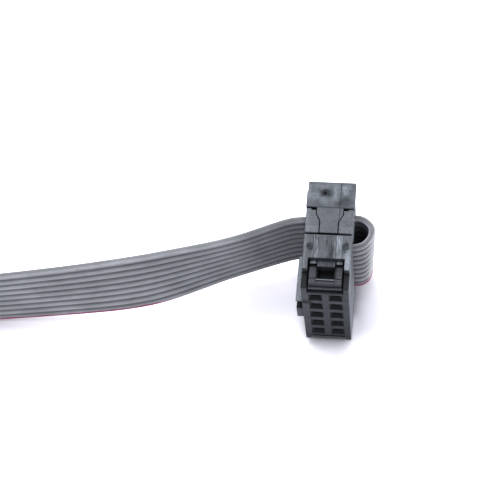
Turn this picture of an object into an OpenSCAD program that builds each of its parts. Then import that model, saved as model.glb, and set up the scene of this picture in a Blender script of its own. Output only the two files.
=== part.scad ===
// Flat grey ribbon cable with a two-row insulation-displacement socket at each end.
// Millimetres, +Z up. The near socket stands on one of its short ends with its mating
// face towards -Y. The origin is on the standing surface, at the middle of the bridge
// that closes the housing's lower end. Connector parts are drawn in a connector frame:
// y = 0 is the mating face, +y runs to the strain relief, and z = 0 is the middle of
// the contact field.

/* [Contacts] */
// Number of contacts in each of the two rows
per_row = 5; // [4:1:6]
// Distance between neighbouring contacts of a row
contact_pitch = 2.54; // [2.1:0.01:3.1]
// Distance between the two rows
row_gap = 2.54; // [2.1:0.01:3.1]
// Thickness of the contact's metal strip
contact_t = 0.34; // [0.26:0.01:0.44]
// Width of the contact's base across its row
contact_w = 1.8; // [1.5:0.01:1.9]
// Width of the forked blade that grips one wire
blade_w = 1.12; // [0.9:0.01:1.2]
// Width of the slot in that blade
blade_slot = 0.26; // [0.2:0.01:0.32]

/* [Ribbon] */
// Number of wires in the ribbon
wires = 9; // [7:1:9]
// Diameter over the insulation of one wire
wire_d = 0.9; // [0.72:0.01:1.1]
// Radius of the roll of spare ribbon, to the middle of its outer turn
roll_r = 30; // [26:0.5:36]
// Distance between neighbouring turns of the roll
roll_pitch = 5; // [4.2:0.1:6]

/* [Housing] */
// Width of the connector across its rows
housing_w = 6; // [5.8:0.1:7.4]
// Height of the housing from the mating face to its back
housing_h = 7.1; // [6.7:0.1:8.6]
// Distance from the last contact to the housing's short end
end_margin = 3.62; // [3.4:0.01:4.5]
// Distance from the last contact to the end of the mating nose
nose_margin = 2.67; // [2.3:0.01:3]
// Distance from the last contact to the floor of the latch window
floor_margin = 1.37; // [1.25:0.01:1.5]
// Height above the mating face at which the full-length shoulders start
shoulder_y = 2.2; // [1.8:0.1:2.8]
// Width of the latch window in each short end
window_w = 4.6; // [4.3:0.1:5]
// Width of the raised core inside the window
core_w = 4.2; // [4:0.1:4.25]
// Height above the mating face at which the bridge over the window starts
bridge_y = 3.8; // [3.5:0.1:4.5]
// Thickness of that bridge
bridge_t = 0.6; // [0.45:0.01:0.75]
// Width of the catch in the middle of the window
catch_w = 2.2; // [1.8:0.1:2.3]
// Length of the catch in front of the bridge
catch_l = 0.9; // [0.7:0.05:1.1]
// Width of a socket's mouth across the rows
mouth_w = 1.8; // [1.4:0.01:2]
// Width of a socket's mouth along its row
mouth_l = 1.8; // [1.5:0.01:2]
// Side of the square pin hole
pin_hole = 1; // [0.8:0.01:1.2]
// Depth of the tapered mouth
mouth_depth = 0.55; // [0.4:0.01:0.8]
// Depth at which the pin hole opens into the contact chamber
chamber_y = 1.1; // [1:0.05:1.3]
// Length of the contact chamber along its row
chamber_l = 2; // [1.95:0.01:2.05]
// Distance that the polarizing key stands out from the wall
key_t = 0.95; // [0.7:0.01:1.2]
// Width of the polarizing key
key_w = 4.8; // [4:0.1:5.6]
// Thickness of the walls above and behind the hollow in the key's front
key_wall = 0.2; // [0.15:0.01:0.3]

/* [Cover] */
// Height of the cover from the housing to the ribbon's second pass
cover_h = 3.75; // [3.6:0.05:4.8]
// Gap that the clamped ribbon leaves between housing and cover
seam = 0.2; // [0.1:0.01:0.4]
// Thickness of the latch loop that reaches into the window
loop_t = 0.5; // [0.4:0.01:0.6]
// Width over the latch loop's two legs
loop_w = 4.1; // [3.9:0.01:4.15]
// Width between the latch loop's two legs
loop_gap = 2.4; // [2.35:0.01:2.6]
// Length of the bar that joins the two legs
loop_bar = 0.85; // [0.6:0.01:0.9]
// Distance from the mating face to the end of the latch loop
loop_end = 0.43; // [0.3:0.01:0.5]

/* [Strain relief] */
// Height of the strain relief over its ends
relief_h = 3.7; // [3:0.05:4.4]
// Distance that the strain relief stands out past the cover on each long side
relief_lip = 0.08; // [0:0.01:0.15]
// Gap between the cover and the strain relief at their ends
relief_seam = 0.1; // [0.05:0.01:0.2]
// Half width of the tongue at its root
tongue_root = 1.66; // [1.5:0.01:1.8]
// Half width of the tongue at its tip
tongue_tip = 1.12; // [1:0.01:1.15]
// Thickness of the tongue
tongue_t = 1.2; // [1:0.01:1.35]
// Gap on each side of the tongue
tongue_fit = 0.13; // [0.06:0.01:0.16]
// Distance from the ribbon's outer wires to the ends of the slots that hold it
slot_room = 0.085; // [0.05:0.005:0.15]
// Size of the small chamfer along the moulded edges
edge_ease = 0.1; // [0.05:0.01:0.15]

/* [Hidden] */
$fn = 32;
row_names = ["a", "b"];
near_contacts = [for (row = row_names, i = [1:per_row]) str("contact_", row, i)];
far_contacts = [for (name = near_contacts) str("far_", name)];

fit = 0.05;
press = 0.02;
over = 1;
plastic = [0.2, 0.2, 0.22];
cover_plastic = [0.26, 0.26, 0.28];
metal = [0.83, 0.69, 0.38];
grey = [0.62, 0.63, 0.67];

// Connector frame
wire_pitch = contact_pitch / 2;
half_field = (per_row - 1) / 2 * contact_pitch;
half_len = half_field + end_margin;
nose_half = half_field + nose_margin;
window_floor = half_field + floor_margin;
loop_top = half_len - bridge_t - fit;
loop_under = loop_top - loop_t;
core_top = loop_under - fit;
first_wire = -half_field - wire_pitch / 2;
ribbon_w = (wires - 1) * wire_pitch + wire_d;
ribbon_mid = first_wire + (wires - 1) / 2 * wire_pitch;
slot_half = half_field + wire_pitch / 2 + wire_d / 2 + slot_room;
slit_y = housing_h + wire_d / 2;
cover_y0 = housing_h + seam;
cover_y1 = housing_h + cover_h;
gap_y = cover_y1 + wire_d / 2;
relief_y0 = cover_y1 + relief_seam;
relief_y1 = relief_y0 + relief_h;
relief_w = housing_w + 2 * relief_lip;
bend_r = (gap_y - slit_y) / 2;
bend_room = 0.35;
bend_x = housing_w / 2 + bend_room;
ribbon_end_x = -housing_w / 2 + 0.3;

// Details of the window, the contacts and the latches
lip_t = 0.3;
lip_y = 0.17;
lip_recess = 0.45;
pocket_wall = 0.15;
leg_notch_l = 0.5;
leg_notch_t = 0.4;
bar_groove_t = 0.12;
bar_groove_l = 0.2;
beam_y = chamber_y + 0.2;
beam_root_t = 0.5;
beam_neck = 0.1;
beam_neck_l = 0.9;
beam_nose_l = 0.6;
beam_flare = 0.15;
beam_tip_t = 0.2;
beam_pinch = 0.02;
base_y = housing_h - 2.7;
blade_y = housing_h - 1.1;
fork_y = housing_h - 0.7;
tip_y = housing_h + wire_d + 0.45;
tip_room = 0.15;
tine_w = (blade_w - blade_slot) / 2;
tine_z = (blade_w + blade_slot) / 4;
tine_point = 0.12;
tine_point_l = 0.25;
pin_t = 0.64;
key_y0 = 0.7;
key_y1 = housing_h - 0.1;
key_depth = 1.5;
key_ease = edge_ease / 2;
bevel = edge_ease * sqrt(2);
tongue_bend_y1 = cover_y1 - 0.85;
tongue_bend_y0 = cover_y1 - 1.85;
hook_t = 0.3;
hook_l = 0.7;
notch_w = 0.55;
notch_l = 0.22;
cover_step_y = cover_y0 + 1.05;
cover_shoulder = 0.1;
parting_x = 1.23;
face_step = 0.05;
side_step = 0.1;
side_step_y = relief_y1 - 1.5;
waist = 0.2;
waist_half = half_len - 1.1;
lead_in_l = 1.1;
lead_in_h = 0.55;
gate_r = 0.45;
gate_depth = 0.2;
gate_x = -0.8;
gate_y = relief_y1 - 1.65;

// Row frame
mate_shift = -(bridge_y + housing_h) / 2;
wire_z = half_len + ribbon_mid;
floor_z = ribbon_w / 2;
exit_x = -housing_w / 2;
exit_y = gap_y + mate_shift;

// Route of the free ribbon from the strain relief to the roll. Each point gives x, y,
// the share of the socket's height that is left (1 at the socket, 0 on the surface),
// and the lean of the ribbon's upper edge away from the mating side, in degrees.
ROUTE = [
    [-5, 5.6, 1, 0], [-7, 4.9, 0.99, -0.5], [-9, 4.09, 0.97, -1], [-11, 3.27, 0.95, -1.3],
    [-13, 2.55, 0.91, -1], [-15.5, 1.67, 0.86, 0.6], [-18, 0.8, 0.81, 3.4],
    [-21, -0.21, 0.75, 6.6], [-24, -1.07, 0.67, 8.7], [-27, -1.73, 0.6, 9.3],
    [-30, -2.25, 0.52, 8.8], [-33, -2.69, 0.44, 7.9], [-36, -3.1, 0.37, 7],
    [-40, -3.61, 0.27, 5.9], [-45, -4.2, 0.16, 4.8], [-50, -4.7, 0.08, 3.9],
    [-55, -5.12, 0.03, 3], [-60, -5.45, 0, 2.2], [-66, -5.73, 0, 1.4], [-72, -5.88, 0, 0.7],
    [-78, -5.95, 0, 0.2]];
roll_x = -81;
roll_y0 = -5.95;
roll_turn = 360;
tail_turn = 110;
tail_step = 10;
tail_room = 0.4;
tail_drop = housing_w / 2 + tail_room;
far_lead = 1.5;

roll_y = roll_y0 + roll_r;
lean_in = atan(roll_pitch / 360 * 180 / PI / (roll_r - roll_pitch));
far_turn = 180 - roll_turn - tail_turn - lean_in + 360;

function soft_step(u) = u * u * (3 - 2 * u);
function tail_share(a) = soft_step(max(0, a - roll_turn) / tail_turn);
function roll_radius(a) = roll_r - roll_pitch * a / 360 - tail_drop * tail_share(a);
function roll_point(a) = [
    roll_x + roll_radius(a) * cos(-90 - a),
    roll_y + roll_radius(a) * sin(-90 - a),
    floor_z + (wire_z - floor_z) * tail_share(a), 0];
function lifted(p) = [p[0], p[1], floor_z + (wire_z - floor_z) * p[2], p[3]];

run_points = concat(
    [[exit_x, exit_y, wire_z, 0]], [for (p = ROUTE) lifted(p)],
    [roll_point(0)]);
tail_end = roll_point(roll_turn + tail_turn);
far_exit = [tail_end[0] + far_lead * cos(far_turn), tail_end[1] + far_lead * sin(far_turn)];
tail_points = concat(
    [for (a = [roll_turn:tail_step:roll_turn + tail_turn]) roll_point(a)],
    [[far_exit[0], far_exit[1], wire_z, 0]]);

// A bar whose twelve edges are eased, centred on x and z
module eased_bar(w, y0, y1, half_z, ease = edge_ease) {
    intersection() {
        translate([0, 0, -half_z]) linear_extrude(2 * half_z)
            eased_outline(-w / 2, w / 2, y0, y1, ease);
        rotate([0, -90, 0]) translate([0, 0, -w / 2]) linear_extrude(w)
            eased_outline(-half_z, half_z, y0, y1, ease);
        rotate([90, 0, 0]) translate([0, 0, -y1]) linear_extrude(y1 - y0)
            eased_outline(-w / 2, w / 2, -half_z, half_z, ease);
    }
}

module eased_outline(x0, x1, y0, y1, ease) {
    polygon([
        [x0 + ease, y0], [x1 - ease, y0], [x1, y0 + ease], [x1, y1 - ease],
        [x1 - ease, y1], [x0 + ease, y1], [x0, y1 - ease], [x0, y0 + ease]]);
}

// A plain box given by its lowest and highest corners
module span(low, high) {
    translate(low) cube(high - low);
}

// The same cut or rib at both short ends; z is measured outwards from the middle
module at_ends() {
    for (end = [0, 1]) mirror([0, 0, end]) children();
}

function row_x(row) = (row - 0.5) * row_gap;
function contact_z(i) = half_field - i * contact_pitch;
// A wire lies half a wire pitch below its contact in row a, and above it in row b
function blade_z(row) = (row - 0.5) * wire_pitch;

module near_place() {
    translate([0, mate_shift, half_len]) children();
}

module far_place() {
    translate([far_exit[0], far_exit[1], 0]) rotate([0, 0, far_turn])
        translate([-exit_x, -exit_y, 0]) near_place() children();
}

// Tapered square mouth, as the meeting of two wedges
module mouth() {
    intersection() {
        translate([0, 0, -mouth_l]) linear_extrude(2 * mouth_l) taper(mouth_w);
        rotate([0, -90, 0]) translate([0, 0, -mouth_w]) linear_extrude(2 * mouth_w) taper(mouth_l);
    }
}

module taper(width) {
    polygon([
        [-width / 2, 0], [width / 2, 0], [pin_hole / 2, mouth_depth],
        [-pin_hole / 2, mouth_depth]]);
}

module socket_cavity(row) {
    translate([0, -over, 0]) span([-mouth_w / 2, 0, -mouth_l / 2], [mouth_w / 2, over, mouth_l / 2]);
    mouth();
    span([-pin_hole / 2, 0, -pin_hole / 2], [pin_hole / 2, chamber_y, pin_hole / 2]);
    span([-pin_hole / 2, chamber_y, -chamber_l / 2], [pin_hole / 2, base_y, chamber_l / 2]);
    slot = contact_t / 2 + press;
    base = contact_w / 2 + press;
    span([-slot, base_y - over, -base], [slot, blade_y, base]);
    blade = blade_w / 2 + press;
    span([-slot, blade_y - over, blade_z(row) - blade],
        [slot, housing_h + over, blade_z(row) + blade]);
}

module window_cut() {
    difference() {
        span([-window_w / 2, -over, window_floor], [window_w / 2, bridge_y, half_len + over]);
        window_core();
    }
    // Channels for the latch loop's legs, under the bridge
    for (side = [0, 1]) mirror([side, 0, 0])
        span([catch_w / 2, bridge_y - over, core_top],
            [loop_w / 2 + fit, housing_h + over, loop_top + fit]);
}

module window_core() {
    difference() {
        union() {
            span([-core_w / 2, lip_recess, window_floor - over],
                [core_w / 2, bridge_y + over, core_top]);
            span([-core_w / 2, lip_y, core_top - lip_t], [core_w / 2, bridge_y, core_top]);
            span([-catch_w / 2, bridge_y - catch_l, window_floor],
                [catch_w / 2, bridge_y + over, loop_top + fit]);
        }
        // Pocket that the latch loop's opening looks into
        span([-loop_gap / 2 + pocket_wall, loop_end + loop_bar + fit, window_floor],
            [loop_gap / 2 - pocket_wall, bridge_y - catch_l, half_len]);
    }
}

module housing_shape() {
    difference() {
        union() {
            eased_bar(housing_w, 0, housing_h, nose_half);
            eased_bar(housing_w, shoulder_y, housing_h, half_len);
            translate([-(housing_w + key_t) / 2 + fit, 0, 0])
                eased_bar(key_t + 2 * fit, key_y0, key_y1, key_w / 2, key_ease);
        }
        for (row = [0, 1], i = [0:per_row - 1])
            translate([row_x(row), 0, contact_z(i)]) socket_cavity(row);
        at_ends() window_cut();
        // Hollow in the upper half of the key's front, open on its outer side
        span([-housing_w / 2 - key_t - over, -over, key_wall / 2],
            [-housing_w / 2 - key_wall / 2, key_y0 + key_depth, key_w / 2 - key_wall]);
    }
}

// Side view of the tongue, or of the slot it lies in, widened by room on every side
module tongue_outline(room, y0, y1) {
    root = tongue_root + room;
    tip = tongue_tip + room;
    polygon([
        [-tip, y0], [tip, y0], [tip, tongue_bend_y0], [root, tongue_bend_y1], [root, y1],
        [-root, y1], [-root, tongue_bend_y1], [-tip, tongue_bend_y0]]);
}

module cover_shape() {
    difference() {
        union() {
            eased_bar(housing_w, cover_y0, cover_y1, slot_half);
            eased_bar(housing_w, cover_y0, cover_y1 - cover_shoulder, half_len);
            at_ends() latch_loop();
        }
        // Slot over the housing that holds the ribbon
        span([-housing_w, cover_y0 - over, -slot_half], [housing_w, housing_h + wire_d, slot_half]);
        // Clearance for the contact tips
        for (row = [0, 1], i = [0:per_row - 1])
            translate([row_x(row), 0, contact_z(i) + blade_z(row)])
                span([-contact_t / 2 - tip_room, housing_h, -blade_w / 2 - fit],
                    [contact_t / 2 + tip_room, tip_y + tip_room, blade_w / 2 + fit]);
        at_ends() {
            translate([0, 0, half_len - tongue_t - fit]) linear_extrude(tongue_t + over)
                tongue_outline(tongue_fit, cover_y0 - over, cover_y1 + over);
            hook_pocket();
            for (side = [0, 1]) mirror([side, 0, 0]) cover_marks();
        }
    }
}

module hook_pocket() {
    span([-tongue_tip, cover_y0 - over, half_len - tongue_t - hook_t - 2 * fit],
        [tongue_tip, cover_y0 + hook_l + 3 * fit, half_len - tongue_t]);
}

// Corner notch and shallow step on each side block of the cover
module cover_marks() {
    inner = tongue_root + tongue_fit;
    span([inner - fit, cover_y1 - cover_shoulder - notch_l, half_len - tongue_t],
        [inner + notch_w, cover_y1 + over, half_len + over]);
    span([0, cover_step_y, half_len - face_step], [housing_w, cover_y1 + over, half_len + over]);
}

// U-shaped loop that snaps over the catch in the housing's window
module latch_loop() {
    difference() {
        span([-loop_w / 2, loop_end, loop_under],
            [loop_w / 2, cover_y0 + edge_ease + fit, loop_top]);
        span([-loop_gap / 2, loop_end + loop_bar, loop_under - over],
            [loop_gap / 2, cover_y1, loop_top + over]);
        // Notch across both legs in front of the bridge
        span([-loop_w, bridge_y - catch_l - edge_ease, loop_top - leg_notch_t],
            [loop_w, bridge_y - catch_l - edge_ease + leg_notch_l, loop_top + over]);
        // Shallow groove along the bar
        translate([-loop_gap / 2, loop_end + loop_bar / 2, loop_top - bar_groove_t])
            cube([loop_gap, bar_groove_l, over]);
        // Eased edges of the bar
        for (y = [loop_end, loop_end + loop_bar]) translate([0, y, loop_top]) rotate([45, 0, 0])
            cube([2 * loop_w, bevel, bevel], center = true);
    }
}

module relief_shape() {
    difference() {
        union() {
            eased_bar(relief_w, relief_y0, relief_y1, half_len);
            at_ends() relief_tongue();
        }
        // Slot that holds the ribbon's second pass
        span([-housing_w, relief_y0 - over, -slot_half], [housing_w, cover_y1 + wire_d, slot_half]);
        slot_lead_in();
        // Narrower back part on the key's side, and a waist between the end blocks
        span([-housing_w, side_step_y, -2 * half_len],
            [-relief_w / 2 + side_step, relief_y1 + over, 2 * half_len]);
        for (side = [0, 1]) mirror([side, 0, 0])
            span([relief_w / 2 - waist, relief_y0 - over, -waist_half],
                [housing_w, relief_y1 + over, waist_half]);
        // Parting step across the short ends
        at_ends() span([parting_x, cover_y0 + hook_l, half_len - face_step],
            [housing_w, relief_y1 + over, half_len + over]);
        // Gate mark on the upper end
        translate([gate_x, gate_y, half_len + gate_r - gate_depth]) sphere(gate_r);
    }
}

// Slope that gives the ribbon room to curl up where it enters the slot
module slot_lead_in() {
    back = cover_y1 + wire_d;
    translate([relief_w / 2, back, -slot_half]) linear_extrude(2 * slot_half)
        polygon([
            [-lead_in_l, -fit], [over, -fit], [over, lead_in_h], [0, lead_in_h], [-lead_in_l, 0]]);
}

module relief_tongue() {
    translate([0, 0, half_len - tongue_t]) linear_extrude(tongue_t)
        tongue_outline(0, cover_y0 + fit, relief_y0 + edge_ease + fit);
    // Snap hook on the tongue's inner side
    hook_z = half_len - tongue_t;
    translate([-tongue_tip + fit, 0, 0]) rotate([0, 90, 0]) linear_extrude(2 * (tongue_tip - fit))
        polygon([
            [-hook_z - fit, cover_y0 + fit], [-hook_z, cover_y0 + fit],
            [-hook_z + hook_t, cover_y0 + hook_l], [-hook_z, cover_y0 + hook_l],
            [-hook_z - fit, cover_y0 + hook_l]]);
}

// One piece of the ribbon, from its cut end through both slots and round the bend
module clamped_shape() {
    translate([0, 0, ribbon_mid]) difference() {
        translate([0, 0, -ribbon_w / 2]) linear_extrude(ribbon_w) union() {
            translate([ribbon_end_x, slit_y - wire_d / 2]) square([bend_x - ribbon_end_x, wire_d]);
            translate([exit_x, gap_y - wire_d / 2]) square([bend_x - exit_x, wire_d]);
            translate([bend_x, (slit_y + gap_y) / 2]) intersection() {
                difference() {
                    circle(bend_r + wire_d / 2);
                    circle(bend_r - wire_d / 2);
                }
                translate([0, -2 * bend_r]) square(4 * bend_r);
            }
        }
        // Cuts made by the contacts' blades
        translate([0, 0, -ribbon_mid])
            for (row = [0, 1], i = [0:per_row - 1], side = [-1, 1])
                translate([row_x(row), slit_y, contact_z(i) + blade_z(row) + side * tine_z])
                    cube([contact_t + 2 * press, 2 * wire_d, tine_w + 2 * press], center = true);
    }
}

// Stamped contact: two beams for the pin, a base, and a forked blade for the wire
module contact_shape(row) {
    b = blade_z(row);
    translate([contact_t / 2, 0, 0]) rotate([0, -90, 0]) linear_extrude(contact_t) polygon(concat(
        beam_points(1), [[contact_w / 2, blade_y]], tine_points(b, 1),
        turned(tine_points(b, -1)), [[-contact_w / 2, blade_y]], turned(beam_points(-1))));
}

// Spring beam that bears on the pin near its tip, from its inner root to its outer one
function beam_points(side) = [
    [side * (contact_w / 2 - beam_root_t), base_y],
    [side * (pin_t / 2 - beam_pinch), beam_y + beam_nose_l],
    [side * (pin_t / 2 + beam_flare), beam_y],
    [side * (pin_t / 2 + beam_flare + beam_tip_t), beam_y],
    [side * (contact_w / 2 - beam_neck), base_y - beam_neck_l],
    [side * contact_w / 2, base_y]];

// Pointed tine at one side of the wire slot, from its outer root to its inner one
function tine_points(b, side) = [
    [b + side * blade_w / 2, blade_y],
    [b + side * blade_w / 2, tip_y - tine_point_l],
    [b + side * (blade_w / 2 - tine_point), tip_y],
    [b + side * (blade_slot / 2 + tine_point), tip_y],
    [b + side * blade_slot / 2, tip_y - tine_point_l],
    [b + side * blade_slot / 2, fork_y]];

function turned(list) = [for (i = [len(list) - 1:-1:0]) list[i]];

// Flat eight-sided section swept along points of x, y, z and lean
module ribbon_sweep(points) {
    n = len(points);
    h = ribbon_w / 2;
    t = wire_d / 2;
    section = [
        [h, t / 2], [h - t / 2, t], [t / 2 - h, t], [-h, t / 2],
        [-h, -t / 2], [t / 2 - h, -t], [h - t / 2, -t], [h, -t / 2]];
    k = len(section);
    verts = [for (i = [0:n - 1], s = section) ring_vertex(points, i, s)];
    sides = [for (i = [0:n - 2], j = [0:k - 1], half = [0, 1])
        let (a = i * k + j, b = i * k + (j + 1) % k)
        half == 0 ? [a, b, b + k] : [a, b + k, a + k]];
    first = [for (j = [0:k - 1]) k - 1 - j];
    last = [for (j = [0:k - 1]) (n - 1) * k + j];
    polyhedron(points = verts, faces = concat(sides, [first], [last]), convexity = 8);
}

function unit(v) = v / norm(v);
function place(p) = [p[0], p[1], p[2]];
function level(v) = unit([v[0], v[1], 0]);
function heading(points, i) = unit(
    place(points[min(i + 1, len(points) - 1)]) - place(points[max(i - 1, 0)]));
// The first and last rings stand square to the slots that they meet
function ring_heading(points, i) =
    i == 0 ? [-1, 0, 0]
    : i == len(points) - 1 ? level(heading(points, i))
    : heading(points, i);
function ring_vertex(points, i, s) =
    let (
        t = ring_heading(points, i),
        side = unit(cross(t, [0, 0, 1])),
        up = cross(side, t),
        a = points[i][3])
    place(points[i]) + s[0] * (cos(a) * up + sin(a) * side) + s[1] * (cos(a) * side - sin(a) * up);

module contact(row, i) {
    color(metal) translate([row_x(row), 0, contact_z(i)]) contact_shape(row);
}

module socket_housing() {
    color(plastic) near_place() housing_shape();
}

module socket_cover() {
    color(cover_plastic) near_place() cover_shape();
}

module strain_relief() {
    color(cover_plastic) near_place() relief_shape();
}

module clamped_ribbon() {
    color(grey) near_place() clamped_shape();
}

module ribbon_run() {
    color(grey) ribbon_sweep(run_points);
}

// Closed ring round the outer turn of the roll
module ribbon_roll() {
    color(grey) translate([roll_x, roll_y, 0]) rotate_extrude($fn = 96)
        translate([roll_r - roll_pitch - wire_d / 2, 0]) square([roll_pitch + wire_d, ribbon_w]);
}

module ribbon_tail() {
    color(grey) ribbon_sweep(tail_points);
}

module far_socket_housing() {
    color(plastic) far_place() housing_shape();
}

module far_socket_cover() {
    color(cover_plastic) far_place() cover_shape();
}

module far_strain_relief() {
    color(cover_plastic) far_place() relief_shape();
}

module far_clamped_ribbon() {
    color(grey) far_place() clamped_shape();
}

socket_housing();
socket_cover();
strain_relief();
clamped_ribbon();
for (row = [0, 1], i = [0:per_row - 1])
    near_place() contact(row, i);
ribbon_run();
ribbon_roll();
ribbon_tail();
far_socket_housing();
far_socket_cover();
far_strain_relief();
far_clamped_ribbon();
for (row = [0, 1], i = [0:per_row - 1])
    far_place() contact(row, i);
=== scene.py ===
"""Looks of the ribbon cable: the camera, the ribbed ribbon, the moulded plastic and the studio.

Lengths named here are in millimetres and become metres in `metres()`. The connector frame
has y = 0 at the mating face, +y towards the strain relief, z = 0 at mid-height and x = 0
midway between the two rows of mouths. The row frame is the CAD's: z = 0 is the surface.
"""
import math
from collections import namedtuple

import bpy
from mathutils import Matrix, Vector


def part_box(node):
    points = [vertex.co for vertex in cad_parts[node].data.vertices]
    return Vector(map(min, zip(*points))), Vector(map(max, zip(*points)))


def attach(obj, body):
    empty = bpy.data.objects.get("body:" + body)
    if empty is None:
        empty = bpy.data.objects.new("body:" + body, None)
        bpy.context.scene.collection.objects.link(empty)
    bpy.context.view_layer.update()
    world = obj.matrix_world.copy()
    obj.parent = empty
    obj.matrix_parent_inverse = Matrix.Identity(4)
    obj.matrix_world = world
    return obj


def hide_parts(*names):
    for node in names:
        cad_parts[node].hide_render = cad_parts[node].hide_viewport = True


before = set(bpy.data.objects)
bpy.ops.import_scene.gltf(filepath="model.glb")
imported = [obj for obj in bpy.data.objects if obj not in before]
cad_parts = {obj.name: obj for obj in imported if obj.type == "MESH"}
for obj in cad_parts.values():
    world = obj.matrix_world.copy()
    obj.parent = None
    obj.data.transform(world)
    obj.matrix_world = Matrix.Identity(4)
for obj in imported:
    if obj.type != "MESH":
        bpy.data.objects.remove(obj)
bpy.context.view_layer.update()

MM = 0.001


def metres(*values):
    return Vector(values) * MM


# ---------------------------------------------------------------- sizes

# The housing: its mating face in the row frame, half its length and half its width
housing_low, housing_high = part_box("socket_housing")
mating_y = housing_low.y / MM
half_len = housing_high.z / MM / 2
half_w = housing_high.x / MM

# The ribbon: its wires, the thickness of the webs between them, the radius of the copper
# in them, and the first and last wire's place across it
wires = 9
wire_pitch = 1.27
wire_d = 0.9
web_t = 0.22
core_r = 0.19
last_wire = (wires - 1) / 2 * wire_pitch
first_wire = -last_wire
ribbon_w = 2 * last_wire + wire_d

# Height of the ribbon's middle, in the socket and on the surface
clamped_low, clamped_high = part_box("clamped_ribbon")
wire_z = clamped_low.z / MM + ribbon_w / 2
floor_z = ribbon_w / 2

# The clamped stretch: its length, how far its cut end lies inside its solid's box, and its
# two levels in the connector frame, in the slit over the housing and the gap over the cover
clamped_l = 18.3
cut_back = 0.3
cut_x = clamped_low.x / MM + cut_back
slit_y = clamped_low.y / MM + wire_d / 2 - mating_y
gap_y = clamped_high.y / MM - wire_d / 2 - mating_y

# Where the ribbon leaves the socket, in the row frame
exit_x = -half_w
exit_y = gap_y + mating_y


def connector_matrix(place=Matrix.Identity(4)):
    """From the connector frame to the row frame, in metres."""
    return place @ Matrix.Translation(metres(0, mating_y, half_len))


# ---------------------------------------------------------------- camera

# Found from the ten mouths and the corners of the mating face in the photo
CAMERA_PLACE = (11.30, -80.87, 177.02)
CAMERA_RIGHT = (0.99214, 0.09370, -0.08299)
CAMERA_BACK = (0.11626, -0.44436, 0.88827)
FOCAL_LENGTH = 103.6
SENSOR = 36


def make_camera():
    data = bpy.data.cameras.new("camera")
    data.lens = FOCAL_LENGTH
    data.sensor_width = SENSOR
    data.clip_start = 0.005
    data.clip_end = 10
    camera = bpy.data.objects.new("camera", data)
    bpy.context.collection.objects.link(camera)
    right = Vector(CAMERA_RIGHT).normalized()
    back = Vector(CAMERA_BACK).normalized()
    up = back.cross(right)
    turn = Matrix((right, up, back)).transposed().to_4x4()
    camera.matrix_world = Matrix.Translation(metres(*CAMERA_PLACE)) @ turn
    bpy.context.scene.camera = camera


make_camera()


# ---------------------------------------------------------------- the ribbon's route

# x, y, the share of the socket's height that is left (1 at the socket, 0 on the
# surface), and the lean of the ribbon's upper edge away from the mating side, in degrees.
ROUTE = [
    [-5, 5.6, 1, 0], [-7, 4.9, 0.99, -0.5], [-9, 4.09, 0.97, -1], [-11, 3.27, 0.95, -1.3],
    [-13, 2.55, 0.91, -1], [-15.5, 1.67, 0.86, 0.6], [-18, 0.8, 0.81, 3.4],
    [-21, -0.21, 0.75, 6.6], [-24, -1.07, 0.67, 8.7], [-27, -1.73, 0.6, 9.3],
    [-30, -2.25, 0.52, 8.8], [-33, -2.69, 0.44, 7.9], [-36, -3.1, 0.37, 7],
    [-40, -3.61, 0.27, 5.9], [-45, -4.2, 0.16, 4.8], [-50, -4.7, 0.08, 3.9],
    [-55, -5.12, 0.03, 3], [-60, -5.45, 0, 2.2], [-66, -5.73, 0, 1.4], [-72, -5.88, 0, 0.7],
    [-78, -5.95, 0, 0.2]]

# The roll: its first turn's radius, its middle, how much the radius shrinks in a turn, its
# turning in degrees, and the turning between two of its points
roll_r = 30
roll_x = -81
roll_y = roll_r + ROUTE[-1][1]
roll_pitch = 5
roll_turn = 360
roll_step = 10

# The tail: its turning in degrees, how far it moves inwards to give the far socket room,
# and its straight lead into that socket
tail_turn = 110
tail_drop = half_w + 0.4
far_lead = 1.5
lean_in = math.degrees(math.atan(roll_pitch / math.tau / (roll_r - roll_pitch)))
far_turn = math.radians(180 - roll_turn - tail_turn - lean_in + 360)

# Centre line of the fold, from the slit over the housing round to the gap over the
# cover: x and y in the connector frame, at the ribbon's upper and its lower edge. The
# upper edge comes back to the gap FOLD_RISE beyond its level, along the gap's lead-in.
FOLD_TOP = [
    (3.8, 7.75), (4.5, 8.15), (5.2, 9.2), (5.25, 10.35), (4.85, 11), (4.25, 11.5), (3.6, 11.75)]
FOLD_BOTTOM = [
    (3.8, 7.6), (4.5, 8.05), (4.85, 9), (4.85, 10.1), (4.4, 10.95), (3.7, 11.35)]
FOLD_RISE = 0.45


def soft_step(u):
    return u * u * (3 - 2 * u)


def roll_point(degrees):
    share = soft_step(max(0, degrees - roll_turn) / tail_turn)
    radius = roll_r - roll_pitch * degrees / 360 - tail_drop * share
    angle = math.radians(-90 - degrees)
    return Vector((
        roll_x + radius * math.cos(angle), roll_y + radius * math.sin(angle),
        floor_z + (wire_z - floor_z) * share))


def route_points():
    """Points of the ribbon's centre line, each with the lean of the ribbon there."""
    points = [(Vector((exit_x, exit_y, wire_z)), 0)]
    for x, y, share, lean in ROUTE:
        points.append((Vector((x, y, floor_z + (wire_z - floor_z) * share)), lean))
    for degrees in range(0, roll_turn + tail_turn + 1, roll_step):
        points.append((roll_point(degrees), 0))
    points.append((far_exit(), 0))
    return points


def far_exit():
    end = roll_point(roll_turn + tail_turn)
    lead = Vector((math.cos(far_turn), math.sin(far_turn), 0)) * far_lead
    return Vector((end.x, end.y, wire_z)) + lead


def far_place():
    """Where the far socket stands, from the near socket's place."""
    exit_point = metres(exit_x, exit_y, 0)
    end = far_exit() * MM
    end.z = 0
    turn = Matrix.Rotation(far_turn, 4, "Z")
    return Matrix.Translation(end) @ turn @ Matrix.Translation(-exit_point)


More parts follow.
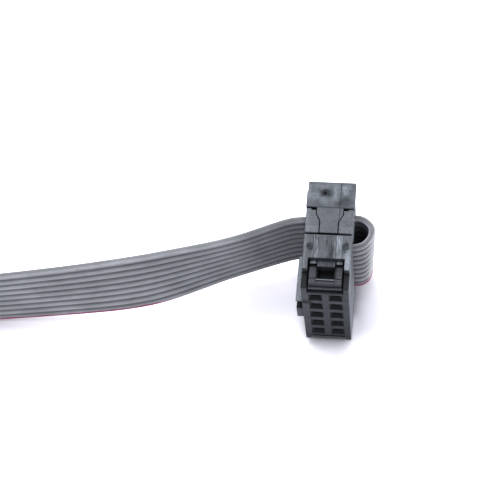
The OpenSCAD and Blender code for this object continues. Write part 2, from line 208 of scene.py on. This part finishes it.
def smooth(points, step):
    """Catmull-Rom points through the given (point, value) pairs, about `step` apart."""
    out = []
    count = len(points)
    for i in range(count - 1):
        four = [points[min(max(i + k, 0), count - 1)] for k in (-1, 0, 1, 2)]
        places = [p for p, _ in four]
        values = [v for _, v in four]
        parts = max(1, round((places[2] - places[1]).length / step))
        for k in range(parts):
            out.append((spline(*places, k / parts), spline(*values, k / parts)))
    out.append(points[-1])
    return out


def spline(a, b, c, d, u):
    return 0.5 * (2 * b + (c - a) * u + (2 * a - 5 * b + 4 * c - d) * u ** 2
                  + (3 * b - a - 3 * c + d) * u ** 3)


# ---------------------------------------------------------------- the ribbon's mesh

# How fine the mesh is: parts in each wire's half round, the rings' spacing along the route,
# the spacing of the fold's centre line, and the steps along the clamped stretch
arc_parts = 10
route_step = 1.2
fold_step = 0.25
clamped_steps = 72


def ribbon_section():
    """Outline of nine round wires joined by webs, as pairs of across and out."""
    radius = wire_d / 2
    neck = math.asin(web_t / 2 / radius)
    out = []
    for side in (1, -1):
        order = range(wires) if side > 0 else reversed(range(wires))
        for k in order:
            centre = first_wire + k * wire_pitch
            start = 0 if k == 0 else neck
            end = math.pi if k == wires - 1 else math.pi - neck
            turns = [start + (end - start) * i / arc_parts for i in range(arc_parts + 1)]
            if side < 0:
                turns.reverse()
            for turn in turns:
                out.append((centre - radius * math.cos(turn), side * radius * math.sin(turn)))
    # The two sides share their first and last points
    top = len(out) // 2
    return [p for i, p in enumerate(out) if i not in (top, len(out) - 1)]


def tube_faces(rings, around):
    """Quads between rings of `around` points each, then the cap on each end."""
    faces = []
    for i in range(rings - 1):
        for j in range(around):
            a = i * around + j
            b = i * around + (j + 1) % around
            faces.append((a, b, b + around, a + around))
    faces.append(tuple(reversed(range(around))))
    faces.append(tuple(range((rings - 1) * around, rings * around)))
    return faces


def ribbon_mesh(name, rings, to_row, along=0.0):
    """Sweeps the section along rings of (centre, across, out) and caps both ends.

    `along` is the first ring's distance along the ribbon from the strain relief.
    """
    section = ribbon_section()
    verts = []
    places = []
    for i, (centre, across, outward) in enumerate(rings):
        along += (centre - rings[max(i - 1, 0)][0]).length
        for a, o in section:
            verts.append(to_row @ ((centre + across * a + outward * o) * MM))
            places.extend((a, o, along))
    faces = tube_faces(len(rings), len(section))
    mesh = bpy.data.meshes.new(name)
    mesh.from_pydata([tuple(v) for v in verts], [], faces)
    mesh.polygons.foreach_set("use_smooth", [True] * len(faces))
    mesh.polygons[-1].use_smooth = False
    mesh.polygons[-2].use_smooth = False
    # Across the ribbon, out of it, and along it, in millimetres
    mesh.attributes.new("section", "FLOAT_VECTOR", "POINT").data.foreach_set("vector", places)
    mesh.update()
    piece = bpy.data.objects.new(name, mesh)
    bpy.context.collection.objects.link(piece)
    return piece


def run_rings(points):
    """Rings that stand on edge along the route, tipped by each point's lean."""
    rings = []
    last = len(points) - 1
    for i, (point, lean) in enumerate(points):
        heading = (points[min(i + 1, last)][0] - points[max(i - 1, 0)][0]).normalized()
        if i == 0:
            heading = Vector((-1, 0, 0))
        if i == last:
            heading = Vector((heading.x, heading.y, 0)).normalized()
        side = heading.cross(Vector((0, 0, 1))).normalized()
        up = side.cross(heading)
        turn = math.radians(lean)
        rings.append((point, up * math.cos(turn) + side * math.sin(turn),
                      side * math.cos(turn) - up * math.sin(turn)))
    return rings


def fold_line(points, rise):
    """Points in the connector frame, through the slit, round the fold and through the gap."""
    # Each pass is straight inside its walls; the way out starts `rise` beyond the gap's level
    way_in = [(x, slit_y) for x in (cut_x, 0, half_w - 0.4, half_w + 0.15)]
    way_out = [(half_w, gap_y + rise), (half_w - 0.7, gap_y + 0.25 * rise)]
    way_out += [(x, gap_y) for x in (half_w - 1.5, 0, exit_x)]
    pairs = [(Vector((x, y, 0)), 0) for x, y in way_in + points + way_out]
    return [p for p, _ in smooth(pairs, fold_step)]


def resampled(points, count):
    """The same line cut into equal lengths."""
    marks = [0.0]
    for a, b in zip(points, points[1:]):
        marks.append(marks[-1] + (b - a).length)
    out = []
    i = 0
    for k in range(count + 1):
        at = marks[-1] * k / count
        while i < len(marks) - 2 and marks[i + 1] < at:
            i += 1
        share = (at - marks[i]) / (marks[i + 1] - marks[i])
        out.append(points[i].lerp(points[i + 1], share))
    return out


def clamped_rings():
    """Rings of the clamped stretch, whose fold bulges more at its upper edge."""
    upper = resampled(fold_line(FOLD_TOP, FOLD_RISE), clamped_steps)
    lower = resampled(fold_line(FOLD_BOTTOM, 0), clamped_steps)
    up = Vector((0, 0, 1))
    rings = []
    for i, (top, bottom) in enumerate(zip(upper, lower)):
        ahead = upper[min(i + 1, clamped_steps)] + lower[min(i + 1, clamped_steps)]
        behind = upper[max(i - 1, 0)] + lower[max(i - 1, 0)]
        heading = (ahead - behind).normalized()
        lean = (top - bottom) / ribbon_w
        centre = (top + bottom) / 2 + up * (wire_z - half_len)
        rings.append((centre, up + lean, heading.cross(up)))
    return rings


# ---------------------------------------------------------------- material tools

# How much of the camera's white paper and white surround the reflections show
SEEN_IN_GLOSS = 0.35


class Shader:
    """One material, or the world, with short calls that add nodes to it."""

    def __init__(self, name, kind=bpy.data.materials):
        self.made = kind.new(name)
        self.made.use_nodes = True
        self.nodes = self.made.node_tree.nodes
        self.links = self.made.node_tree.links

    def set(self, socket, value):
        """Links another node's output to the socket, or sets a constant on it."""
        if isinstance(value, bpy.types.NodeSocket):
            self.links.new(value, socket)
        else:
            socket.default_value = value

    def surface(self, **values):
        """Sets inputs of the material's surface, named with _ for each space."""
        inputs = self.nodes["Principled BSDF"].inputs
        for name, value in values.items():
            self.set(inputs[name.replace("_", " ")], value)

    def node(self, kind, *values, **settings):
        """Adds a node, sets its properties and then its inputs in order."""
        made = self.nodes.new("ShaderNode" + kind)
        for name, value in settings.items():
            setattr(made, name, value)
        for socket, value in zip(made.inputs, values):
            self.set(socket, value)
        return made

    def math(self, operation, *values):
        return self.node("Math", *values, operation=operation).outputs[0]

    def ramp(self, value, start, end, first=0.0, last=1.0):
        """Goes smoothly from first to last while value goes from start to end."""
        made = self.node(
            "MapRange", value, start, end, first, last, interpolation_type="SMOOTHSTEP")
        return made.outputs[0]

    def both(self, *masks):
        """The product of masks, of which the last can be a number."""
        out = masks[0]
        for mask in masks[1:]:
            out = self.math("MULTIPLY", out, mask)
        return out

    def band(self, value, start, end, soft):
        """1 between start and end, with soft edges."""
        rise = self.ramp(value, start - soft, start + soft)
        fall = self.ramp(value, end - soft, end + soft, 1.0, 0.0)
        return self.both(rise, fall)

    def spot(self, u, v, centre, size, soft=0.25):
        """1 inside an oval at centre, 0 outside it."""
        across = self.math("DIVIDE", self.math("SUBTRACT", u, centre[0]), size[0])
        along = self.math("DIVIDE", self.math("SUBTRACT", v, centre[1]), size[1])
        squares = self.math("MULTIPLY_ADD", across, across, self.both(along, along))
        return self.ramp(self.math("SQRT", squares), 1 - soft, 1 + soft, 1.0, 0.0)

    def noise(self, vector, scale, detail=2.0, roughness=0.5, stretch=None):
        """Noise from 0 to 1; stretch scales the coordinates first."""
        if stretch:
            vector = self.node("VectorMath", vector, stretch, operation="MULTIPLY").outputs[0]
        made = self.nodes.new("ShaderNodeTexNoise")
        self.set(made.inputs["Vector"], vector)
        made.inputs["Scale"].default_value = scale
        made.inputs["Detail"].default_value = detail
        made.inputs["Roughness"].default_value = roughness
        return made.outputs[0]

    def shade(self, amount, dark, light):
        """Number that goes from dark to light as amount goes from 0 to 1."""
        return self.math("MULTIPLY_ADD", amount, light - dark, dark)

    def mix(self, amount, first, second):
        """Colour between two colours."""
        made = self.nodes.new("ShaderNodeMix")
        made.data_type = "RGBA"
        self.set(made.inputs[0], amount)
        self.set(made.inputs[6], (*first, 1) if isinstance(first, tuple) else first)
        self.set(made.inputs[7], (*second, 1) if isinstance(second, tuple) else second)
        return made.outputs[2]

    def scaled(self, color, amount):
        """A colour made darker or lighter by a number."""
        made = self.node("VectorMath", color, operation="SCALE")
        self.set(made.inputs["Scale"], amount)
        return made.outputs[0]

    def cavity(self, distance):
        """1 in the open and 0 deep inside a gap."""
        made = self.nodes.new("ShaderNodeAmbientOcclusion")
        made.samples = 8
        made.inputs["Distance"].default_value = distance * MM
        return made.outputs["AO"]

    def edges(self, radius):
        """A mask that is 1 on sharp edges, and the normal with those edges rounded.

        The edge is where the rounded normal turns away from the true one.
        """
        made = self.nodes.new("ShaderNodeBevel")
        made.samples = 4
        made.inputs["Radius"].default_value = radius * MM
        normal = self.node("NewGeometry").outputs["Normal"]
        dot = self.node("VectorMath", made.outputs[0], normal, operation="DOT_PRODUCT")
        return self.ramp(dot.outputs["Value"], 0.8, 0.98, 1.0, 0.0), made.outputs[0]

    def place(self, to_row):
        """The connector frame's coordinates in millimetres, whole and as x, y and z."""
        back = to_row.inverted()
        coords = self.node("TexCoord").outputs["Object"]
        turned = self.node(
            "Mapping", coords, back.translation / MM, back.to_euler(), (1 / MM,) * 3).outputs[0]
        return turned, *self.node("SeparateXYZ", turned).outputs

    def upward(self):
        """1 on faces that look up."""
        normal = self.node("NewGeometry").outputs["Normal"]
        return self.ramp(self.node("SeparateXYZ", normal).outputs[2], 0.6, 0.9)

    def seen(self):
        """1 for the camera, SEEN_IN_GLOSS in reflections and 0 for the light that spreads."""
        rays = self.node("LightPath").outputs
        return self.math("MULTIPLY_ADD", rays["Is Glossy Ray"], SEEN_IN_GLOSS,
                         rays["Is Camera Ray"])

    def bumped(self, height, distance, strength, normal=None):
        """The normal, roughened by a height that is `distance` millimetres at 1."""
        made = self.nodes.new("ShaderNodeBump")
        made.inputs["Strength"].default_value = strength
        made.inputs["Distance"].default_value = distance * MM
        self.set(made.inputs["Height"], height)
        if normal is not None:
            self.set(made.inputs["Normal"], normal)
        return made.outputs[0]


# ---------------------------------------------------------------- plastic

# A place on a moulding: connector coordinates in millimetres, how far out x and z are from
# the middle, x and y made ragged, 1 on the short end faces, and two noises from 0 to 1
Place = namedtuple("Place", "x y z wide high u v end streaks speckle")

# How far the ragged coordinates stray, the radius of worn edges, and how near a gap's
# walls are for painted shade to darken it, in millimetres
STRAY = 1.6
WORN = 0.09
PAINTED_SHADE_REACH = 0.9


def moulded(name, to_row, tint, marks):
    """Dark glass-filled plastic with flow streaks, pale worn edges and painted shade in its gaps.
    """
    s = Shader(name)
    at, x, y, z = s.place(to_row)
    clouds = s.ramp(s.noise(at, 0.7, detail=3), 0.3, 0.7)
    streaks = s.noise(at, 1.0, detail=4, roughness=0.6, stretch=(5.0, 0.55, 1.5))
    streaks = s.ramp(streaks, 0.32, 0.68)
    speckle = s.ramp(s.noise(at, 5.5, detail=3, roughness=0.6), 0.3, 0.7)
    u, v = (
        s.math("MULTIPLY_ADD", s.shade(s.noise(at, scale, detail=3), -0.5, 0.5), STRAY, value)
        for value, scale in ((x, 1.3), (y, 1.1)))
    wide = s.math("ABSOLUTE", x)
    high = s.math("ABSOLUTE", z)
    end = s.both(s.upward(), s.ramp(high, 7.9, 8.3))
    level = s.math("ADD", s.shade(clouds, 0.9, 1.12), s.shade(speckle, -0.16, 0.16))
    level = marks(s, Place(x, y, z, wide, high, u, v, end, streaks, speckle), level)
    edge, rounded = s.edges(WORN)
    level = s.both(level, s.shade(edge, 1.0, 1.3))
    # Painted shade in the gaps, deeper the nearer their walls
    gap = s.ramp(s.cavity(PAINTED_SHADE_REACH), 0.3, 0.85)
    level = s.both(level, s.shade(gap, 0.06, 1.0))
    grain = s.math("MULTIPLY_ADD", streaks, 0.3, s.math("MULTIPLY", speckle, 0.7))
    # Dark patches are dull and pale ones are smooth
    s.surface(
        Base_Color=s.scaled(tint, level), Roughness=s.ramp(level, 0.2, 1.5, 0.85, 0.4),
        Specular_IOR_Level=0.45, Normal=s.bumped(grain, 0.02, 0.6, rounded))
    return s.made


def lightened(s, level, marks):
    """Adds each mask's amount to the level."""
    for mask, amount in marks:
        level = s.math("MULTIPLY_ADD", mask, amount, level)
    return level


def darkened(s, level, marks):
    """Multiplies the level by each factor where its mask is 1."""
    for mask, factor in marks:
        level = s.both(level, s.shade(mask, 1.0, factor))
    return level


def housing_marks(s, p, level):
    """Flow streaks by two dull ovals, a paler key, and painted light and shade."""
    key = s.ramp(p.x, -3.06, -3.02, 1.0, 0.0)
    right_wall = s.ramp(p.x, 2.98, 2.995)
    level = lightened(s, level, housing_pale_marks_and_painted_light(s, p, key, right_wall))
    level = darkened(s, level, housing_shade(s, p, right_wall))
    return darkened(s, level, housing_openings(s, p, key))


def housing_pale_marks_and_painted_light(s, p, key, right_wall):
    """Masks of the paler places and of painted light, each with what it adds."""
    near_nose = s.ramp(p.y, 4.0, 6.0, 1.0, 0.1)
    return (
        # Three flow streaks down the short end, and two clouds between them
        (s.both(p.end, s.band(p.x, 0.95, 1.75, 0.2), s.shade(p.streaks, -0.1, 1.0)), 2.8),
        (s.both(p.end, s.band(p.x, -1.9, -1.15, 0.2), s.shade(p.streaks, -0.5, 1.0)), 1.3),
        (s.both(p.end, s.band(p.x, -1.15, 0.9, 0.2), s.shade(p.streaks, -1.0, 1.0)), 0.35),
        (s.both(p.end, s.band(p.u, -1.15, -0.2, 0.25)), 0.35),
        (s.both(p.end, s.band(p.u, 0.0, 0.85, 0.25)), -0.1),
        # Its right and left margins
        (s.both(p.end, s.ramp(p.x, 1.9, 2.6), near_nose, s.shade(p.speckle, 0.3, 1.0)), 3.0),
        (s.both(p.end, s.ramp(p.x, -2.5, -2.8), s.shade(p.speckle, 0.2, 1.0)), 0.9),
        # The key over its hollow, and painted light on the lower half of the right wall, where the
        # fold's shade doesn't reach
        (s.both(key, s.ramp(p.z, 2.3, 2.36), s.shade(p.speckle, 0.1, 1.0)), 2.6),
        (s.both(right_wall, s.ramp(p.z, 1.0, -6.0), s.shade(p.speckle, 0.7, 1.0)), 0.7))


def housing_shade(s, p, right_wall):
    """Masks of the darker places, dull ovals and painted shade, each with its factor."""
    ovals = [
        (s.both(p.end, s.spot(p.u, p.v, centre, size), s.shade(p.speckle, 1.0, 0.6)), 0.2)
        for centre, size in (((-2.15, 5.4), (0.42, 0.65)), ((2.2, 5.4), (0.45, 0.8)))]
    nose = s.ramp(p.y, 2.15, 2.3, 1.0, 0.0)
    front = s.ramp(p.y, 0.05, 0.1, 1.0, 0.0)
    painted_fold_shade = s.both(s.ramp(p.y, 1.5, 5.5), s.ramp(p.z, -5.0, 4.0))
    return ovals + [
        # Painted shade on the nose's short ends, and on the strip of the mating face over the
        # mouths
        (s.both(s.ramp(p.high, 7.6, 7.74), nose), 0.2),
        (s.both(s.band(p.z, 6.05, 7.55, 0.05), s.ramp(p.y, 0.5, 0.6, 1.0, 0.0),
                s.ramp(p.wide, 2.3, 2.4, 1.0, 0.0)), 0.85),
        # A dark patch on the mating face, and painted shade on the whole face, deeper on its right
        # side and its lower part, and on its strip under the mouths
        (s.both(s.spot(p.u, p.z, (-2.5, 3.7), (0.8, 0.5), 0.4), front), 0.3),
        (front, 0.88),
        (s.both(front, s.ramp(p.x, -2.6, 0.2, 0.25, 0.62)), 0.62),
        (s.both(front, s.ramp(p.z, 3.0, -8.0)), 0.68),
        (s.both(front, s.ramp(p.z, -5.9, -6.15), s.ramp(p.wide, 2.4, 2.2)), 0.65),
        # Painted shade on the right wall beside the fold
        (s.both(right_wall, painted_fold_shade), 0.55)]


def housing_openings(s, p, key):
    """Painted shade in the mouths, each end's window and the key's hollow: masks and factors."""
    mouths = s.both(
        s.ramp(p.y, 0.02, 0.06), s.ramp(p.y, 4.5, 5.0, 1.0, 0.0),
        s.ramp(p.wide, 2.34, 2.38, 1.0, 0.0), s.ramp(p.high, 6.14, 6.18, 1.0, 0.0))
    window = s.ramp(p.wide, 1.08, 1.12, 1.0, 0.0)
    catch = s.both(window, s.ramp(p.high, 7.8, 7.9))
    catch_front = s.both(
        window, s.ramp(p.high, 7.98, 8.04, 1.0, 0.0), s.band(p.y, 2.8, 2.93, 0.01))
    pocket = s.both(window, s.band(p.y, 1.1, 2.88, 0.02), s.band(p.high, 6.3, 7.62, 0.02))
    hollow = s.both(
        key, s.ramp(p.y, 2.22, 2.26, 1.0, 0.0), s.ramp(p.y, 0.72, 0.78),
        s.band(p.z, 0.06, 2.24, 0.02))
    return (catch, 0.75), (catch_front, 0.5), (mouths, 0.15), (pocket, 0.1), (hollow, 0.15)


def cover_marks(s, p, level):
    """Paler blocks by the tongue, a step across them, dark latch loops, painted highlights and
    shade.
    """
    blocks = s.both(p.end, s.ramp(p.wide, 1.2, 1.5))
    loop = s.ramp(p.y, 7.0, 7.2, 1.0, 0.0)
    opening = s.both(s.ramp(p.wide, 1.19, 1.21, 1.0, 0.0), s.ramp(p.y, 1.3, 1.34))
    outer = s.both(s.upward(), s.ramp(p.high, 7.94, 8.0))
    level = lightened(s, level, (
        # The blocks, their part under the step, their left margin and their speckle
        (blocks, 0.25),
        (s.both(blocks, s.ramp(p.y, 8.3, 8.4, 1.0, 0.0)), 0.3),
        (s.both(blocks, s.ramp(p.u, -2.3, -2.7)), 0.5),
        (s.both(blocks, s.shade(p.speckle, -0.6, 0.6)), 0.35),
        # Painted highlights on the loop's bar beside its opening, and on its legs between their
        # notch and the bridge
        (s.both(outer, s.ramp(p.wide, 1.16, 1.1), s.band(p.y, 0.92, 1.26, 0.02),
                s.shade(p.speckle, 0.4, 1.0)), 3.5),
        (s.both(outer, s.ramp(p.wide, 1.3, 1.35), s.band(p.y, 3.32, 3.8, 0.03)), 4.0)))
    # The step's line, the loop, and painted shade on the right side of its opening and inside it
    return darkened(s, level, (
        (s.both(blocks, s.band(p.y, 8.32, 8.38, 0.02)), 0.6), (loop, 0.56),
        (s.both(outer, s.band(p.x, 1.1, 1.36, 0.03), s.band(p.y, 1.36, 2.95, 0.03)), 0.35),
        (s.both(loop, opening), 0.15)))


def relief_marks(s, p, level):
    """A smudge round the gate, clouds across the end, a parting line and the tongue's root."""
    clouds = (
        (s.spot(p.u, p.v, (1.75, 13.7), (0.5, 0.6), 0.6), 1.8),
        (s.spot(p.u, p.v, (0.5, 13.1), (0.35, 0.9), 0.8), 1.3),
        (s.spot(p.u, p.v, (-1.2, 14.0), (1.4, 0.5), 0.8), 0.35),
        (s.spot(p.u, p.v, (1.9, 11.7), (0.8, 0.8), 0.5), -0.55),
        (s.spot(p.u, p.v, (0.9, 11.4), (0.5, 0.5), 0.6), -0.3),
        (s.spot(p.u, p.v, (-1.5, 11.2), (0.5, 0.4), 0.7), -0.25),
        (s.spot(p.u, p.v, (-1.9, 14.5), (0.9, 0.3), 0.7), -0.35),
        (s.spot(p.u, p.v, (-0.9, 12.0), (0.5, 0.6), 0.7), 0.5),
        (s.spot(p.u, p.v, (-2.1, 12.5), (0.9, 0.5), 0.7), 0.7),
        (s.spot(p.x, p.y, (-2.9, 13.3), (0.3, 1.0), 0.6), 0.9))
    level = lightened(s, s.math("ADD", level, 0.1), [
        (s.both(p.end, mask, s.shade(p.speckle, 0.4, 1.3)), amount) for mask, amount in clouds])
    return darkened(s, level, [(s.both(p.end, *masks), factor) for *masks, factor in (
        # The gate, its smudge twice, the tongue's root, the parting line and the back edge
        (s.spot(p.x, p.y, (-0.82, 13.05), (0.5, 0.48), 0.45), 0.13),
        (s.spot(p.u, p.v, (-0.7, 13.05), (0.68, 0.58), 0.8), 0.5),
        (s.spot(p.u, p.v, (-0.2, 13.05), (0.6, 0.25), 0.9), 0.6),
        (s.band(p.y, 10.87, 11.08, 0.06), s.ramp(p.wide, 1.75, 1.65), 0.58),
        (s.band(p.x, 1.17, 1.27, 0.04), 0.5),
        (s.ramp(p.y, 14.48, 14.6), 0.5))])


# ---------------------------------------------------------------- vinyl and metal

# Two tones each of the vinyl and the plating, the printed stripe and the bare strands
VINYL = (0.52, 0.53, 0.585), (0.59, 0.602, 0.668)
PLATING = (0.75, 0.56, 0.26), (0.86, 0.7, 0.38)
STRIPE = (0.42, 0.05, 0.17)
STRANDS = (0.6, 0.33, 0.2)


def ribbon_vinyl():
    """Grey vinyl with painted shade between its wires, scuffs, and one red edge wire."""
    s = Shader("grey_vinyl")
    section = s.node("Attribute", attribute_name="section").outputs["Vector"]
    across, out, along = s.node("SeparateXYZ", section).outputs
    count = s.math("DIVIDE", s.math("SUBTRACT", across, first_wire), wire_pitch)
    wire = s.math("ROUND", count)
    off = s.math("MULTIPLY", s.math("SUBTRACT", count, wire), wire_pitch)
    flat = s.node("CombineXYZ", across, 0.0, along).outputs[0]
    own = s.noise(s.node("CombineXYZ", wire, 3.0, 0.0).outputs[0], 3.7)
    clouds = s.ramp(s.noise(flat, 0.22, detail=3), 0.3, 0.7)
    scuffs = s.noise(flat, 1.0, detail=4, roughness=0.65, stretch=(5.0, 1.0, 0.45))
    scuffs = s.ramp(scuffs, 0.3, 0.7)
    speckle = s.noise(flat, 9, detail=2)
    level = s.math("ADD", s.shade(own, -0.08, 0.08), s.shade(clouds, -0.06, 0.06))
    level = s.math("ADD", level, s.shade(scuffs, -0.1, 0.1))
    level = s.math("ADD", level, s.shade(speckle, 0.95, 1.05))
    # Painted shade on the valleys, the fold and beside the socket, and painted highlights on the
    # rim
    level = ribbon_painted_light_and_shade(s, level, across, out, along, off)
    tint = s.mix(clouds, *VINYL)
    tint = s.mix(red_stripe(s, across, along, scuffs), tint, STRIPE)
    # Stranded copper shows where a wire is cut across
    reach = s.math("SQRT", s.math("MULTIPLY_ADD", off, off, s.both(out, out)))
    strand = s.ramp(reach, core_r - 0.02, core_r + 0.02, 1.0, 0.0)
    height = s.math("MULTIPLY_ADD", scuffs, 0.5, s.math("MULTIPLY", speckle, 0.5))
    s.surface(
        Base_Color=s.mix(strand, s.scaled(tint, level), STRANDS),
        Roughness=s.shade(scuffs, 0.36, 0.54), Specular_IOR_Level=0.5, Sheen_Weight=0.08,
        Normal=s.bumped(height, 0.03, 0.6))
    return s.made


def ribbon_painted_light_and_shade(s, level, across, out, along, off):
    """Paints shade on the valleys, the fold and the ribbon by it, and highlights on the upper edge.

    `off` is the distance from the nearest wire's middle. The fold, which lies in the
    housing's shade, runs from 12.8 to 6 mm before the strain relief.
    """
    valley = s.ramp(s.math("ABSOLUTE", off), 0.28, 0.46)
    gap = s.ramp(s.cavity(4.0), 0.08, 0.5)
    # Painted shade in the valleys between the wires and deep in the fold's hollow
    level = s.both(level, s.shade(s.both(valley, gap), 1.0, 0.42), s.shade(gap, 0.24, 1.0))
    rim = s.both(s.ramp(across, last_wire - 0.05, last_wire + 0.25), s.ramp(out, 0.25, 0.0))
    below = s.shade(rim, 1.0, 0.0)
    return darkened(s, level, (
        # Painted highlights on the rim, on its inner side and round the fold
        (s.both(rim, s.ramp(out, 0.1, -0.25)), 1.22),
        (s.both(rim, s.band(along, -13.0, -6.2, 0.6)), 1.32),
        # Painted shade on the fold's first and second half, its valleys, and the ribbon
        # beside the socket
        (s.both(below, s.band(along, -13.2, -10.4, 0.9)), 0.55),
        (s.both(below, s.band(along, -10.4, -6.0, 0.9)), 0.85),
        (s.both(valley, s.band(along, -12.5, -6.0, 0.9)), 0.7),
        (s.band(along, 0.0, 9.0, 2.5), 0.76)))


def red_stripe(s, across, along, scuffs):
    """1 on the printed stripe, which runs off the seen side beside the connector."""
    ragged = s.math("MULTIPLY_ADD", s.shade(scuffs, -1.0, 1.0), 0.05, across)
    ragged = s.math("MULTIPLY_ADD", s.band(along, 2, 20, 3), 0.3, ragged)
    ragged = s.math("MULTIPLY_ADD", s.ramp(along, -2.0, 0.0), 0.08, ragged)
    return s.ramp(ragged, first_wire + 0.18, first_wire + 0.32, 1.0, 0.0)


def contact_metal():
    """Gold-plated strip with rolling lines and dull patches."""
    s = Shader("contact_metal")
    at = s.node("TexCoord").outputs["Object"]
    lines = s.noise(at, 900, detail=3, stretch=(1.0, 0.15, 1.0))
    patches = s.noise(at, 400, detail=2)
    s.surface(
        Base_Color=s.mix(patches, *PLATING), Metallic=1,
        Roughness=s.shade(lines, 0.2, 0.45), Normal=s.bumped(lines, 0.01, 0.4))
    return s.made


# ---------------------------------------------------------------- pieces

near = connector_matrix()
far = connector_matrix(far_place())
route = smooth(route_points(), route_step)
ribbon = ribbon_mesh("ribbon", run_rings(route), Matrix.Identity(4))
near_fold = ribbon_mesh("near_fold", clamped_rings(), near, along=-clamped_l)
far_fold = ribbon_mesh("far_fold", clamped_rings(), far, along=-clamped_l)
vinyl = ribbon_vinyl()
for piece in (ribbon, near_fold, far_fold):
    piece.data.materials.append(vinyl)
    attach(piece, "root")
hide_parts("ribbon_run", "ribbon_roll", "ribbon_tail")
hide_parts("clamped_ribbon")
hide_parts("far_clamped_ribbon")

# Node, material, tint and marks of each moulding
MOULDINGS = (
    ("socket_housing", "housing_plastic", (0.1, 0.112, 0.134), housing_marks),
    ("socket_cover", "cover_plastic", (0.096, 0.107, 0.129), cover_marks),
    ("strain_relief", "relief_plastic", (0.1, 0.113, 0.139), relief_marks))

metal = contact_metal()
finishes = {}
for prefix, to_row in (("", near), ("far_", far)):
    for name, plastic, tint, marks in MOULDINGS:
        finishes[prefix + name] = moulded(prefix + plastic, to_row, tint, marks)

for name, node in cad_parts.items():
    finish = metal if "contact" in name else finishes.get(name)
    if finish:
        for slot in node.material_slots:
            slot.material = finish


# ---------------------------------------------------------------- studio

# Half the floor's side in metres, and the paper's colour to the lamps and to the camera
FLOOR_HALF = 1.5
PAPER = (0.65, 0.65, 0.67)
PAPER_SEEN = (2.33, 2.31, 2.5)

# The surround's tint, the light that it gives, and how bright the camera sees it
SKY_TINT = (0.95, 0.97, 1, 1)
SKY = 0.45
SKY_SEEN = 1.05

# Name, place, target, two sides and watts of each lamp, in metres
LAMPS = (
    ("top_back", (-0.11, 0.19, 0.55), (0, 0, 0), (0.35, 0.35), 1.35),
    ("low_back", (0.02, 0.45, 0.2), (0, 0, 0.01), (0.5, 0.2), 1.2),
    ("right_side", (0.45, -0.02, 0.04), (0, 0, 0.008), (0.25, 0.06), 1.5))


def make_floor():
    mesh = bpy.data.meshes.new("floor")
    corners = [(FLOOR_HALF * x, FLOOR_HALF * y, 0) for x, y in ((-1, -1), (1, -1), (1, 1), (-1, 1))]
    mesh.from_pydata(corners, [], [(0, 1, 2, 3)])
    floor = bpy.data.objects.new("floor", mesh)
    bpy.context.collection.objects.link(floor)
    floor.data.materials.append(floor_material())


def floor_material():
    """White paper that photographs as white: the camera sees it brighter than the lamps do."""
    s = Shader("floor")
    tint = s.mix(s.seen(), PAPER, PAPER_SEEN)
    at = s.scaled(s.node("TexCoord").outputs["Object"], 1 / MM)
    x, y, _ = s.node("SeparateXYZ", at).outputs
    # Painted contact shade, deeper the nearer other things stand
    contact = s.ramp(s.cavity(3.0), 0.2, 0.95, 0.1, 1.0)
    # Right and in front of the socket, the paper lies open to the side lamp, and the painted
    # contact shade is lighter
    lit = s.both(s.ramp(x, 2.6, 3.2), s.ramp(y, 1.0, -2.5), 0.8)
    contact = s.math("MAXIMUM", contact, lit)
    # Painted soft shade right of the socket and in front of its ribbon, and painted dark under
    # the socket
    right = s.spot(x, y, (5.2, 0.6), (3.6, 5.3), 0.4)
    left = s.spot(x, y, (-8.5, -0.5), (5.0, 3.0), 0.6)
    under = s.both(s.ramp(y, -5.25, -4.75), s.ramp(y, 3.0, 4.0, 1.0, 0.0),
                   s.band(x, -2.4, 2.4, 0.1))
    shade = s.both(s.shade(right, 1.0, 0.65), s.shade(left, 1.0, 0.84), s.shade(under, 1.0, 0.35))
    paper = s.node("BsdfDiffuse")
    s.set(paper.inputs["Color"], s.scaled(tint, s.both(contact, shade)))
    s.links.new(paper.outputs[0], s.nodes["Material Output"].inputs["Surface"])
    return s.made


def make_world():
    """A white surround, which the camera sees brighter than the light it gives."""
    s = Shader("world", bpy.data.worlds)
    background = s.nodes["Background"].inputs
    s.set(background["Color"], SKY_TINT)
    s.set(background["Strength"], s.shade(s.seen(), SKY, SKY_SEEN))
    bpy.context.scene.world = s.made


def area_light(name, place, target, size, watts):
    data = bpy.data.lights.new(name, "AREA")
    data.shape = "RECTANGLE"
    data.size, data.size_y = size
    data.energy = watts
    lamp = bpy.data.objects.new(name, data)
    bpy.context.collection.objects.link(lamp)
    lamp.location = place
    lamp.rotation_euler = (Vector(target) - Vector(place)).to_track_quat("-Z", "Y").to_euler()


make_floor()
make_world()
for lamp_settings in LAMPS:
    area_light(*lamp_settings)

bpy.context.scene.view_settings.view_transform = "Standard"
